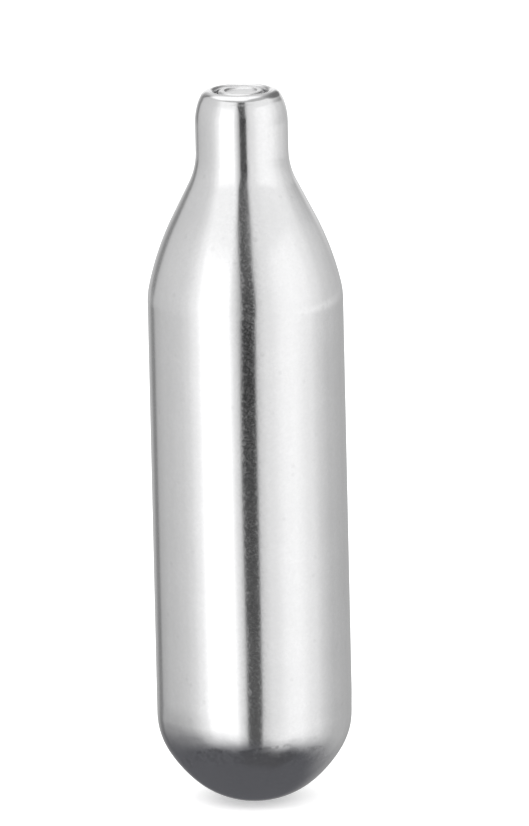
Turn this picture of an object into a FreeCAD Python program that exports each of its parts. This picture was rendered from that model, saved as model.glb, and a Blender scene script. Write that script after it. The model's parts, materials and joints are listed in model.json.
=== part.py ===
"""Small steel gas cartridge with a domed base and a crimped mouth, as a parametric document.

Millimetres and degrees. The origin is the pole of the domed base, where the axis meets it,
and +Z runs along the axis to the mouth.

Four pieces, all round about the axis:
    shell        deep-drawn steel bottle: base, barrel, shoulder, neck and the lip rolled over
    sealing_cap  pressed steel top hat that the lip holds down, with a coined spot to pierce
    gasket       flat ring between the cap's flange and the ledge inside the neck
    gas_charge   the liquefied gas, up to its level just under the shoulder
"""
import FreeCAD, Part
import math
import os
import Sketcher

# Driving dimensions: name, value, what it measures.
SIZES = (
    ("overall_length", 66.8, "pole of the base to the crest of the lip"),
    ("barrel_diameter", 18.0, "outside of the straight wall"),
    ("neck_diameter", 8.54, "outside of the straight neck"),
    ("neck_length", 2.7, "straight part of the neck"),
    ("nose_radius", 8.56, "base, outside, at its pole"),
    ("nose_angle", 42.0, "slope where the nose of the base ends"),
    ("knuckle_radius", 6.9, "base, outside, where it meets the barrel"),
    ("knuckle_start", 57.5, "slope where the knuckle of the base starts"),
    ("corner_radius", 7.5, "outside, where the barrel bends into the shoulder"),
    ("corner_angle", 12.7, "slope from the axis where that corner ends"),
    ("shoulder_radius", 27.6, "outside, the long bulge of the shoulder"),
    ("shoulder_angle", 26.7, "slope from the axis at the steepest place of the shoulder"),
    ("throat_radius", 6.4, "outside, the hollow curve from shoulder to neck"),
    ("lip_flank_radius", 6.0, "outside, where the neck leans in towards the lip"),
    ("lip_flank_angle", 25.0, "slope from the axis where the lip's crest starts"),
    ("lip_width", 1.77, "outside of the neck in to the mouth"),
    ("crest_width", 0.09, "flat on the crest of the lip"),
    ("lip_edge_radius", 0.35, "rounding of the lip at the mouth"),
    ("lip_thickness", 0.95, "crest of the lip down to the cap's flange"),
    ("base_thickness", 0.95, "wall of the base at its pole"),
    ("barrel_wall", 0.75, "wall of the barrel"),
    ("seat_wall", 0.87, "outside of the neck in to the counterbore for cap and gasket"),
    ("ledge_width", 0.53, "step from the counterbore in to the bore of the neck"),
    ("seat_clearance", 0.05, "radial gap round the cap's flange and the gasket"),
    ("cap_sheet", 0.4, "sheet of the cap"),
    ("crown_gap", 0.38, "groove between the mouth and the cap's crown"),
    ("crown_drop", 0.05, "crest of the lip down to the top of the crown"),
    ("crown_rim_radius", 0.3, "outer rounding of the crown"),
    ("crown_foot_radius", 0.12, "hollow rounding between crown and flange"),
    ("coin_margin", 0.52, "outside of the crown in to the coined spot, where it is pierced"),
    ("coin_depth", 0.16, "depth of that spot"),
    ("gasket_thickness", 0.6, "gasket as squeezed by the crimp"),
    ("gas_clearance", 0.02, "gap between the charge and the wall"),
    ("gas_drop", 1.0, "start of the inner shoulder down to the liquid's level"),
)
size = {name: value for name, value, _ in SIZES}

# The coined spot's side is two arcs, each as big as the spot is deep. Turning one way and
# back by this much, they climb exactly that depth.
COIN_SIDE_TURN = 60.0

# Expressions that several sections share.
NOSE_SPAN = "Sizes.nose_angle * 1 deg"
FLANK_SPAN = "(Sizes.knuckle_start - Sizes.nose_angle) * 1 deg"
CORNER_SPAN = "Sizes.corner_angle * 1 deg"
BULGE_SPAN = "(Sizes.shoulder_angle - Sizes.corner_angle) * 1 deg"
MOUTH = "Sizes.neck_diameter / 2 - Sizes.lip_width"
SEAT = "Sizes.neck_diameter / 2 - Sizes.seat_wall"
BORE = f"{SEAT} - Sizes.ledge_width"
SEAT_FIT = f"{SEAT} - Sizes.seat_clearance"
CROWN = f"{MOUTH} - Sizes.crown_gap"
CAP_SEAT = "Sizes.overall_length - Sizes.lip_thickness - Sizes.cap_sheet"


def sine(degrees):
    return math.sin(math.radians(degrees))


def cosine(degrees):
    return math.cos(math.radians(degrees))


def add_sizes(doc):
    """The spreadsheet that every section and placement reads."""
    sheet = doc.addObject("Spreadsheet::Sheet", "Sizes")
    for row, (name, value, meaning) in enumerate(SIZES, start=1):
        sheet.set(f"A{row}", name)
        sheet.set(f"B{row}", str(value))
        sheet.set(f"C{row}", meaning)
        sheet.setAlias(f"B{row}", name)
    doc.recompute()


def add_body(doc, name):
    body = doc.addObject("PartDesign::Body", name)
    body.Label = name
    return body


class Section:
    """A closed half section in a body's XZ plane: drawn edge by edge, then constrained.

    The edges are drawn where the sizes put them, so the sketch starts out solved. The first
    one heads away from the axis. An end is 1 or 2, or 3 for the centre of an arc, as the
    sketcher numbers them; an arc's ends are always taken anticlockwise.
    """

    def __init__(self, body, start):
        plane = next(o for o in body.Origin.OriginFeatures if o.Role == "XZ_Plane")
        self.body = body
        self.sketch = body.newObject("Sketcher::SketchObject", body.Name + "Section")
        self.sketch.AttachmentSupport = [(plane, "")]
        self.sketch.MapMode = "FlatFace"
        self.begin = FreeCAD.Vector(*start, 0)
        self.point = FreeCAD.Vector(*start, 0)
        self.heading = 0.0
        self.first = None
        self.last = None

    def fix(self, *definition):
        """A constraint that no size drives."""
        return self.sketch.addConstraint(Sketcher.Constraint(*definition))

    def drive(self, expression, *definition):
        """A constraint whose size is the expression."""
        index = self.fix(*definition)
        self.sketch.setExpression(f"Constraints[{index}]", expression)

    def at_origin(self, edge, end):
        """Holds a point at the sketch's origin, which is end 1 of its edge -1."""
        self.fix("Coincident", edge, end, -1, 1)

    def on_baseline(self, edge, end):
        """Holds a point level with the sketch's origin, on its edge -1."""
        self.fix("PointOnObject", edge, end, -1)

    def on_axis(self, edge, end):
        """Holds a point on the axis of the part, which is the sketch's edge -2."""
        self.fix("PointOnObject", edge, end, -2)

    def report_height(self, edge, end, name):
        """Gives the height of a point a name, under which another section can read it."""
        index = self.fix("DistanceY", edge, end, self.sketch.getPoint(edge, end).y)
        self.sketch.setDriving(index, False)
        self.sketch.renameConstraint(index, name)

    def line(self, length, corner=0.0):
        """A straight edge. A corner is the turn, in degrees, on the spot before it."""
        self.heading += corner
        step = FreeCAD.Vector(cosine(self.heading), sine(self.heading), 0) * length
        edge = self.sketch.addGeometry(Part.LineSegment(self.point, self.point + step))
        self.point = self.point + step
        quarters, rest = divmod(round(self.heading, 6), 90)
        if rest == 0:
            self.fix("Vertical" if quarters % 2 else "Horizontal", edge)
        self._join("Coincident" if corner else "Tangent", (edge, 1), (edge, 2))
        return edge

    def arc(self, radius, turn, expression=None):
        """A round edge, smooth with the one before. A turn above zero goes to the left."""
        side = 90.0 if turn > 0 else -90.0
        inward = self.heading + side
        center = self.point + FreeCAD.Vector(cosine(inward), sine(inward), 0) * radius
        begin = self.heading - side
        self.heading += turn
        end = self.heading - side
        self.point = center + FreeCAD.Vector(cosine(end), sine(end), 0) * radius
        circle = Part.Circle(center, FreeCAD.Vector(0, 0, 1), radius)
        low, high = sorted((math.radians(begin), math.radians(end)))
        edge = self.sketch.addGeometry(Part.ArcOfCircle(circle, low, high))
        entry, leave = (1, 2) if turn > 0 else (2, 1)
        self._join("Tangent", (edge, entry), (edge, leave))
        if expression:
            self.drive(expression, "Radius", edge, radius)
        return edge

    def _join(self, kind, entry, leave):
        if self.last is None:
            self.first = entry
        else:
            self.fix(kind, *self.last, *entry)
        self.last = leave

    def close(self):
        """The last edge, straight down to where the section began."""
        edge = self.sketch.addGeometry(Part.LineSegment(self.point, self.begin))
        self.fix("Coincident", *self.last, edge, 1)
        self.fix("Coincident", edge, 2, *self.first)
        self.fix("Vertical", edge)

    def span(self, edge, expression):
        """Holds the angle that an arc goes through."""
        arc = self.sketch.Geometry[edge]
        self.drive(expression, "Angle", edge, arc.LastParameter - arc.FirstParameter)

    def radius_at(self, edge, end, expression):
        """Holds how far a point lies from the axis."""
        self.drive(expression, "DistanceX", edge, end, self.sketch.getPoint(edge, end).x)

    def height_at(self, edge, end, expression):
        """Holds the height of a point over the body's own origin."""
        self.drive(expression, "DistanceY", edge, end, self.sketch.getPoint(edge, end).y)

    def revolve(self):
        turned = self.body.newObject("PartDesign::Revolution", self.body.Name + "Turned")
        turned.Profile = self.sketch
        turned.ReferenceAxis = (self.sketch, ["V_Axis"])
        turned.Angle = 360.0


class Base:
    """One skin of the domed base: nose, flank and knuckle, three tangent arcs.

    The flank's radius is what is left when the other two and the barrel are set.
    """

    def __init__(self, barrel, nose, knuckle):
        self.barrel = barrel
        self.nose = nose
        self.knuckle = knuckle
        nose_end = size["nose_angle"]
        knuckle_start = size["knuckle_start"]
        self.turns = (nose_end, knuckle_start - nose_end, 90.0 - knuckle_start)
        across = barrel - knuckle * (1 - sine(knuckle_start)) - nose * sine(nose_end)
        self.flank = across / (sine(knuckle_start) - sine(nose_end))
        self.height = (nose * (1 - cosine(nose_end))
                       + self.flank * (cosine(nose_end) - cosine(knuckle_start))
                       + knuckle * cosine(knuckle_start))


class Shoulder:
    """One skin of the shoulder: corner, long bulge, short cone and hollow throat.

    The cone's length is what is left when the arcs, the barrel and the neck are set.
    """

    def __init__(self, barrel, neck, corner, bulge, throat):
        self.neck = neck
        self.corner = corner
        self.bulge = bulge
        self.throat = throat
        bend = size["corner_angle"]
        steep = size["shoulder_angle"]
        across = (barrel - neck
                  - corner * (1 - cosine(bend))
                  - bulge * (cosine(bend) - cosine(steep))
                  - throat * (1 - cosine(steep)))
        self.cone = across / sine(steep)
        self.height = (corner * sine(bend)
                       + bulge * (sine(steep) - sine(bend))
                       + self.cone * cosine(steep)
                       + throat * sine(steep))


def mouth_radius():
    return size["neck_diameter"] / 2 - size["lip_width"]


def seat_radius():
    return size["neck_diameter"] / 2 - size["seat_wall"]


def bore_radius():
    """The neck's bore, which the gasket's hole continues."""
    return seat_radius() - size["ledge_width"]


def seat_fit_radius():
    """What lies in the counterbore: the cap's flange and the gasket."""
    return seat_radius() - size["seat_clearance"]


def lip_radius():
    """The lip's outer rounding, which takes up what the rest of its width leaves."""
    lean = size["lip_flank_angle"]
    flank = size["lip_flank_radius"] * (1 - cosine(lean))
    left = size["lip_width"] - flank - size["crest_width"] - size["lip_edge_radius"]
    return left / cosine(lean)


def outer_skin():
    barrel = size["barrel_diameter"] / 2
    neck = size["neck_diameter"] / 2
    base = Base(barrel, size["nose_radius"], size["knuckle_radius"])
    shoulder = Shoulder(barrel, neck, size["corner_radius"], size["shoulder_radius"],
                        size["throat_radius"])
    return base, shoulder


def inner_skin():
    base, shoulder = outer_skin()
    wall = size["barrel_wall"]
    barrel = base.barrel - wall
    inner_base = Base(barrel, base.nose - size["base_thickness"], base.knuckle - wall)
    bore = bore_radius()
    inner_shoulder = Shoulder(barrel, bore, shoulder.corner - wall, shoulder.bulge - wall,
                              shoulder.throat + shoulder.neck - bore)
    return inner_base, inner_shoulder


def neck_start():
    """Height where the straight neck begins, outside and inside."""
    lean = size["lip_flank_angle"]
    lip = size["lip_flank_radius"] * sine(lean) + lip_radius() * (1 - sine(lean))
    return size["overall_length"] - lip - size["neck_length"]


def cap_height():
    """The sealing cap, from its flange's underside to the top of its crown."""
    return size["cap_sheet"] + size["lip_thickness"] - size["crown_drop"]


def make_shell(doc):
    """The bottle. Its section runs up the outside, over the lip and down the inside."""
    body = add_body(doc, "shell")
    base, shoulder = outer_skin()
    inner_base, inner_shoulder = inner_skin()
    bend = size["corner_angle"]
    steep = size["shoulder_angle"]
    lean = size["lip_flank_angle"]
    section = Section(body, start=(0.0, 0.0))

    # Outside, from the pole of the base to the lip.
    nose = section.arc(base.nose, base.turns[0], "Sizes.nose_radius")
    flank = section.arc(base.flank, base.turns[1])
    section.arc(base.knuckle, base.turns[2], "Sizes.knuckle_radius")
    barrel = section.line(neck_start() - shoulder.height - base.height)
    corner = section.arc(shoulder.corner, bend, "Sizes.corner_radius")
    bulge = section.arc(shoulder.bulge, steep - bend, "Sizes.shoulder_radius")
    cone = section.line(shoulder.cone)
    throat = section.arc(shoulder.throat, -steep, "Sizes.throat_radius")
    neck = section.line(size["neck_length"])
    lip_flank = section.arc(size["lip_flank_radius"], lean, "Sizes.lip_flank_radius")
    section.arc(lip_radius(), 90.0 - lean)

    # The lip's crest, the mouth, and the counterbore under the lip.
    crest = section.line(size["crest_width"])
    section.arc(size["lip_edge_radius"], 90.0, "Sizes.lip_edge_radius")
    mouth = section.line(size["lip_thickness"] - size["lip_edge_radius"])
    section.line(seat_radius() - mouth_radius(), corner=90.0)
    seat_depth = size["cap_sheet"] + size["gasket_thickness"]
    seat = section.line(seat_depth, corner=-90.0)
    section.line(size["ledge_width"], corner=-90.0)

    # Inside, down the neck to the pole of the base.
    bore = section.line(section.point.y - neck_start(), corner=90.0)
    inner_throat = section.arc(inner_shoulder.throat, steep)
    inner_cone = section.line(inner_shoulder.cone)
    section.arc(inner_shoulder.bulge, bend - steep, "Sizes.shoulder_radius - Sizes.barrel_wall")
    inner_corner = section.arc(inner_shoulder.corner, -bend,
                               "Sizes.corner_radius - Sizes.barrel_wall")
    inner_bottom = size["base_thickness"] + inner_base.height
    inner_barrel = section.line(neck_start() - inner_shoulder.height - inner_bottom)
    section.arc(inner_base.knuckle, -inner_base.turns[2],
                "Sizes.knuckle_radius - Sizes.barrel_wall")
    inner_flank = section.arc(inner_base.flank, -inner_base.turns[1])
    inner_nose = section.arc(inner_base.nose, -inner_base.turns[0],
                             "Sizes.nose_radius - Sizes.base_thickness")
    section.close()

    # Places on the outside.
    section.at_origin(nose, 1)
    section.on_axis(nose, 3)
    section.span(nose, NOSE_SPAN)
    section.span(flank, FLANK_SPAN)
    section.radius_at(barrel, 1, "Sizes.barrel_diameter / 2")
    section.span(corner, CORNER_SPAN)
    section.span(bulge, BULGE_SPAN)
    section.radius_at(neck, 1, "Sizes.neck_diameter / 2")
    section.drive("Sizes.neck_length", "Distance", neck, size["neck_length"])
    section.span(lip_flank, "Sizes.lip_flank_angle * 1 deg")
    section.height_at(crest, 1, "Sizes.overall_length")

    # Places in the mouth and on the inside.
    section.drive("Sizes.crest_width", "Distance", crest, size["crest_width"])
    section.radius_at(mouth, 2, MOUTH)
    section.height_at(mouth, 2, "Sizes.overall_length - Sizes.lip_thickness")
    section.radius_at(seat, 1, SEAT)
    section.drive("Sizes.cap_sheet + Sizes.gasket_thickness", "Distance", seat, seat_depth)
    section.radius_at(bore, 1, BORE)
    section.fix("Coincident", inner_throat, 3, throat, 3)
    section.fix("Parallel", inner_cone, cone)
    section.span(inner_corner, CORNER_SPAN)
    section.radius_at(inner_barrel, 1, "Sizes.barrel_diameter / 2 - Sizes.barrel_wall")
    section.span(inner_flank, FLANK_SPAN)
    section.fix("Coincident", inner_nose, 3, nose, 3)
    section.span(inner_nose, NOSE_SPAN)
    section.report_height(inner_barrel, 1, "inner_shoulder_start")
    section.revolve()
    return body


def make_sealing_cap(doc):
    """The cap's own origin is on the axis, level with the underside of its flange."""
    body = add_body(doc, "sealing_cap")
    sheet = size["cap_sheet"]
    crown = mouth_radius() - size["crown_gap"]
    coin = crown - size["coin_margin"]
    depth = size["coin_depth"]
    rim = size["crown_rim_radius"]
    foot = size["crown_foot_radius"]
    flange = seat_fit_radius()
    height = cap_height()
    section = Section(body, start=(0.0, height - depth))

    # The top, outward from the axis.
    floor = section.line(coin - 2 * depth * sine(COIN_SIDE_TURN))
    hollow = section.arc(depth, COIN_SIDE_TURN, "Sizes.coin_depth")
    section.arc(depth, -COIN_SIDE_TURN, "Sizes.coin_depth")
    top = section.line(crown - rim - coin)
    section.arc(rim, -90.0, "Sizes.crown_rim_radius")
    wall = section.line(height - sheet - rim - foot)
    section.arc(foot, 90.0, "Sizes.crown_foot_radius")
    section.line(flange - crown - foot)

    # The flange's edge and the underside, back to the axis.
    edge = section.line(sheet, corner=-90.0)
    underside = section.line(flange - crown + sheet, corner=-90.0)
    lining = section.line(height - sheet, corner=-90.0)
    section.line(crown - sheet, corner=90.0)
    section.close()

    section.on_axis(floor, 1)
    section.fix("Angle", hollow, math.radians(COIN_SIDE_TURN))
    section.radius_at(top, 1, f"{CROWN} - Sizes.coin_margin")
    section.height_at(top, 1, "Sizes.cap_sheet + Sizes.lip_thickness - Sizes.crown_drop")
    section.radius_at(wall, 1, CROWN)
    section.radius_at(edge, 1, SEAT_FIT)
    section.drive("Sizes.cap_sheet", "Distance", edge, sheet)
    section.on_baseline(underside, 1)
    section.radius_at(lining, 1, f"{CROWN} - Sizes.cap_sheet")
    section.height_at(lining, 2, "Sizes.lip_thickness - Sizes.crown_drop")
    section.revolve()
    body.setExpression("Placement.Base.z", CAP_SEAT)
    return body


def make_gasket(doc):
    """The ring's own origin is on the axis, level with its underside."""
    body = add_body(doc, "gasket")
    inside = bore_radius()
    outside = seat_fit_radius()
    section = Section(body, start=(inside, 0.0))
    underside = section.line(outside - inside)
    edge = section.line(size["gasket_thickness"], corner=90.0)
    section.line(outside - inside, corner=90.0)
    section.close()

    section.on_baseline(underside, 1)
    section.radius_at(underside, 1, BORE)
    section.radius_at(edge, 1, SEAT_FIT)
    section.drive("Sizes.gasket_thickness", "Distance", edge, size["gasket_thickness"])
    section.revolve()
    body.setExpression("Placement.Base.z", f"{CAP_SEAT} - Sizes.gasket_thickness")
    return body


def make_gas_charge(doc):
    """The liquefied gas fills the base and the barrel, all but a film, up to a flat level."""
    body = add_body(doc, "gas_charge")
    film = size["gas_clearance"]
    inner_base, inner_shoulder = inner_skin()
    base = Base(inner_base.barrel - film, inner_base.nose - film, inner_base.knuckle - film)
    bottom = size["base_thickness"] + film
    level = neck_start() - inner_shoulder.height - size["gas_drop"]
    section = Section(body, start=(0.0, bottom))
    nose = section.arc(base.nose, base.turns[0],
                       "Sizes.nose_radius - Sizes.base_thickness - Sizes.gas_clearance")
    flank = section.arc(base.flank, base.turns[1])
    section.arc(base.knuckle, base.turns[2],
                "Sizes.knuckle_radius - Sizes.barrel_wall - Sizes.gas_clearance")
    side = section.line(level - bottom - base.height)
    section.line(base.barrel, corner=90.0)
    section.close()

    section.on_axis(nose, 1)
    section.on_axis(nose, 3)
    section.height_at(nose, 1, "Sizes.base_thickness + Sizes.gas_clearance")
    section.span(nose, NOSE_SPAN)
    section.span(flank, FLANK_SPAN)
    section.radius_at(side, 1,
                      "Sizes.barrel_diameter / 2 - Sizes.barrel_wall - Sizes.gas_clearance")
    section.height_at(side, 2,
                      "shellSection.Constraints.inner_shoulder_start - Sizes.gas_drop * 1 mm")
    section.revolve()
    return body


def check_model(doc, bodies):
    """Stops before anything is written if a feature failed or a piece is not a sound solid."""
    for item in doc.Objects:
        if "Invalid" in item.State or "Error" in item.State:
            raise RuntimeError(f"{item.Name} failed: {item.State}")
    for body in bodies:
        shape = body.Shape
        if shape.isNull() or not shape.isValid() or len(shape.Solids) != 1:
            raise RuntimeError(f"{body.Label} is not one sound solid")


def main():
    doc = FreeCAD.newDocument("GasCartridge")
    add_sizes(doc)
    bodies = [make_shell(doc), make_sealing_cap(doc), make_gasket(doc), make_gas_charge(doc)]
    doc.recompute()
    check_model(doc, bodies)
    os.makedirs("parts", exist_ok=True)
    for body in bodies:
        body.Shape.exportStep(f"parts/{body.Label}.step")
        box = body.Shape.BoundBox
        print(f"{body.Label}: {body.Shape.Volume:.1f} mm3, z {box.ZMin:.3f} to {box.ZMax:.3f}, "
              f"across {box.XLength:.3f}")


main()
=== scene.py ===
"""Looks of a small steel gas cartridge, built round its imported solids.

Metres, in the part's own frame: the origin is the pole of the domed base and +Z runs along
the axis to the mouth. The shell and its sealing cap are turned meshes that stand for their
solids, with the dents and ripples that deep drawing leaves. The gasket and the gas charge
keep their own meshes.
"""
import json
import math

import bmesh
import bpy
from mathutils import Matrix, Vector, noise


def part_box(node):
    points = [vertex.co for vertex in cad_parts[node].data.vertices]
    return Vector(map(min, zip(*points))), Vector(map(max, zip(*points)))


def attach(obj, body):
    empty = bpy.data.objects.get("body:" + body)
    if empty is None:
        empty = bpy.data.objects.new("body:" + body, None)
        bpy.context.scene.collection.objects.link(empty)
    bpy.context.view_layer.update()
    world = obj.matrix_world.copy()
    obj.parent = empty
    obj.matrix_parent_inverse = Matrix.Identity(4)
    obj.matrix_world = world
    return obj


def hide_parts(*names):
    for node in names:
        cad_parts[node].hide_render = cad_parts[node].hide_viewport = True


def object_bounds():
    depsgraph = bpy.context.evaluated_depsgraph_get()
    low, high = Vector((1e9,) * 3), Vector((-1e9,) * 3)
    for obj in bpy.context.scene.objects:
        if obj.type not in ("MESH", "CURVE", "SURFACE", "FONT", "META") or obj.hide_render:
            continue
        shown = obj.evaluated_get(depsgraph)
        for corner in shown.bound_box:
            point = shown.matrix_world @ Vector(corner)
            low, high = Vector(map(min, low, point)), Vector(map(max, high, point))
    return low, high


MM = 0.001
MICRON = 1e-6

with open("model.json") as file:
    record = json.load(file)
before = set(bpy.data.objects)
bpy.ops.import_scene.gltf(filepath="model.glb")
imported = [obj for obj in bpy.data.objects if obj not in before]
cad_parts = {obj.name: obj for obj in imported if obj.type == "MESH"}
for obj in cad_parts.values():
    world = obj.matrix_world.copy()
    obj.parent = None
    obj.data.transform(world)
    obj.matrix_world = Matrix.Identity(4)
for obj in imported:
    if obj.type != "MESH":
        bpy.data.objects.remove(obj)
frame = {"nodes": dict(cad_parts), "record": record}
cad_low, cad_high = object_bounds()
mounts = {m["name"]: m for m in frame["record"]["mounts"]}

# Sizes that the frame gives.
LENGTH = cad_high.z
BARREL = mounts["barrel"]["dims"]["r_mm"] * MM
NECK = mounts["neck"]["dims"]["r_mm"] * MM
NECK_LENGTH = mounts["neck"]["dims"]["length_mm"] * MM
FLANGE_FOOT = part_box("sealing_cap")[0].z
CROWN_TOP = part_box("sealing_cap")[1].z
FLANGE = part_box("sealing_cap")[1].x
GASKET_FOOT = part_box("gasket")[0].z

# The inner skin: the height of its pole, and the wall of the barrel.
INNER_POLE = 0.95 * MM
WALL = 0.75 * MM
INNER_BARREL = BARREL - WALL

# Outside of the base: three arcs. Angles are slopes of the skin, in degrees.
NOSE_RADIUS = 8.56 * MM
NOSE_ANGLE = 42.0
KNUCKLE_RADIUS = 6.9 * MM
KNUCKLE_START = 57.5

# Outside of the shoulder, the angles from the axis.
CORNER_RADIUS = 7.5 * MM
CORNER_ANGLE = 12.7
BULGE_RADIUS = 27.6 * MM
STEEPEST = 26.7
THROAT_RADIUS = 6.4 * MM

# The rolled lip and what lies under it.
LIP_FLANK_RADIUS = 6.0 * MM
LIP_FLANK_ANGLE = 25.0
LIP_WIDTH = 1.77 * MM
CREST_WIDTH = 0.09 * MM
LIP_EDGE_RADIUS = 0.35 * MM
LIP_THICKNESS = 0.95 * MM
SEAT_WALL = 0.87 * MM
LEDGE_WIDTH = 0.53 * MM
SEAT = NECK - SEAT_WALL
BORE = SEAT - LEDGE_WIDTH
MOUTH = NECK - LIP_WIDTH

# The sealing cap.
CAP_SHEET = 0.4 * MM
CROWN_GAP = 0.38 * MM
CROWN = MOUTH - CROWN_GAP
CROWN_RIM_RADIUS = 0.3 * MM
CROWN_FOOT_RADIUS = 0.12 * MM
COIN_MARGIN = 0.52 * MM
COIN = CROWN - COIN_MARGIN
COIN_DEPTH = 0.16 * MM
COIN_SIDE_TURN = 60.0

# The meshes: points round the axis, how far apart the rings lie along the profile, the least
# number of edges in an arc, and the angle from which an edge is sharp.
SEGMENTS = 256
LIP_EDGE_STEP = 0.04 * MM
LIP_STEP = 0.05 * MM
CAP_STEP = 0.05 * MM
CAP_FLAT_STEP = 4 * CAP_STEP
FINE_STEP = 0.12 * MM
MIDDLE_STEP = 0.22 * MM
BARREL_STEP = 0.4 * MM
INNER_STEP = 0.8 * MM
INNER_BARREL_STEP = 4 * INNER_STEP
ARC_EDGES = 3
SHARP_ANGLE = 35.0
# A ring narrower than this is a point on the axis.
ON_AXIS = 1e-9


def sine(degrees):
    return math.sin(math.radians(degrees))


def cosine(degrees):
    return math.cos(math.radians(degrees))


def smooth(low, high, value):
    """0 below low, 1 above high, and an easy curve between."""
    t = min(max((value - low) / (high - low), 0.0), 1.0)
    return t * t * (3 - 2 * t)


# ---------------------------------------------------------------- meshes

class Profile:
    """A half section walked edge by edge, outside on the right, as a list of rings.

    A ring is its radius, its height and the slope of the walk there, in degrees.
    """

    def __init__(self, radius, height, heading=0.0):
        self.radius = radius
        self.height = height
        self.heading = heading
        self.rings = [(radius, height, heading)]
        self.skin = 0

    def _go(self, radius, height):
        self.rings.append((radius, height, self.heading))

    def line(self, length, step, corner=0.0):
        """A straight edge, after a turn of corner degrees on the spot."""
        self.heading += corner
        count = max(1, math.ceil(length / step))
        across, along = cosine(self.heading), sine(self.heading)
        for i in range(1, count + 1):
            gone = length * i / count
            self._go(self.radius + across * gone, self.height + along * gone)
        self.radius += across * length
        self.height += along * length

    def arc(self, radius, turn, step):
        """A round edge, smooth with the one before. A turn above zero goes to the left."""
        side = 90.0 if turn > 0 else -90.0
        inward = self.heading + side
        center_r = self.radius + cosine(inward) * radius
        center_z = self.height + sine(inward) * radius
        begin = self.heading
        count = max(ARC_EDGES, math.ceil(radius * math.radians(abs(turn)) / step))
        for i in range(1, count + 1):
            self.heading = begin + turn * i / count
            outward = self.heading - side
            self._go(center_r + cosine(outward) * radius, center_z + sine(outward) * radius)
        self.radius, self.height, _ = self.rings[-1]


def turned(name, profile, relief=None):
    """A mesh turned from a profile whose first and last rings lie on the axis.

    relief(place, radius) says how far a point of the profile's skin, its first rings, is
    pushed out along its normal.
    """
    verts, rows = [], []
    for index, (radius, height, heading) in enumerate(profile.rings):
        out, up = sine(heading), -cosine(heading)
        on_axis = radius < ON_AXIS
        row = []
        for i in range(1 if on_axis else SEGMENTS):
            angle = 2 * math.pi * i / SEGMENTS
            around = Vector((math.sin(angle), -math.cos(angle), 0.0))
            place = around * max(radius, 0.0) + Vector((0.0, 0.0, height))
            if index < profile.skin and not on_axis:
                place += (around * out + Vector((0.0, 0.0, up))) * relief(place, radius)
            row.append(len(verts))
            verts.append(place)
        rows.append(row)
    faces = []
    for low, high in zip(rows, rows[1:]):
        for i in range(SEGMENTS):
            j = (i + 1) % SEGMENTS
            if len(low) == 1 and len(high) == 1:
                continue
            if len(low) == 1:
                faces.append((low[0], high[j], high[i]))
            elif len(high) == 1:
                faces.append((low[i], low[j], high[0]))
            else:
                faces.append((low[i], low[j], high[j], high[i]))
    mesh = bpy.data.meshes.new(name)
    mesh.from_pydata(verts, [], faces)
    mesh.validate()
    piece = bpy.data.objects.new(name, mesh)
    bpy.context.scene.collection.objects.link(piece)
    mesh.shade_smooth()
    mesh.set_sharp_from_angle(angle=math.radians(SHARP_ANGLE))
    return piece


def base_skin(barrel, nose, knuckle):
    """The flank's radius and the height of one skin of the base."""
    across = barrel - knuckle * (1 - sine(KNUCKLE_START)) - nose * sine(NOSE_ANGLE)
    flank = across / (sine(KNUCKLE_START) - sine(NOSE_ANGLE))
    height = (nose * (1 - cosine(NOSE_ANGLE))
              + flank * (cosine(NOSE_ANGLE) - cosine(KNUCKLE_START))
              + knuckle * cosine(KNUCKLE_START))
    return flank, height


def shoulder_skin(barrel, neck, corner, bulge, throat):
    """The cone's length and the height of one skin of the shoulder."""
    across = (barrel - neck
              - corner * (1 - cosine(CORNER_ANGLE))
              - bulge * (cosine(CORNER_ANGLE) - cosine(STEEPEST))
              - throat * (1 - cosine(STEEPEST)))
    cone = across / sine(STEEPEST)
    height = (corner * sine(CORNER_ANGLE)
              + bulge * (sine(STEEPEST) - sine(CORNER_ANGLE))
              + cone * cosine(STEEPEST)
              + throat * sine(STEEPEST))
    return cone, height


def lip_skin():
    """The radius of the lip's outer rounding and the height of the lip over the neck."""
    flank = LIP_FLANK_RADIUS * (1 - cosine(LIP_FLANK_ANGLE))
    radius = (LIP_WIDTH - flank - CREST_WIDTH - LIP_EDGE_RADIUS) / cosine(LIP_FLANK_ANGLE)
    height = LIP_FLANK_RADIUS * sine(LIP_FLANK_ANGLE) + radius * (1 - sine(LIP_FLANK_ANGLE))
    return radius, height


def neck_foot():
    """The height where the straight neck begins."""
    return LENGTH - lip_skin()[1] - NECK_LENGTH


def shoulder_foot():
    """The height where the barrel ends."""
    height = shoulder_skin(BARREL, NECK, CORNER_RADIUS, BULGE_RADIUS, THROAT_RADIUS)[1]
    return neck_foot() - height


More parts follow.
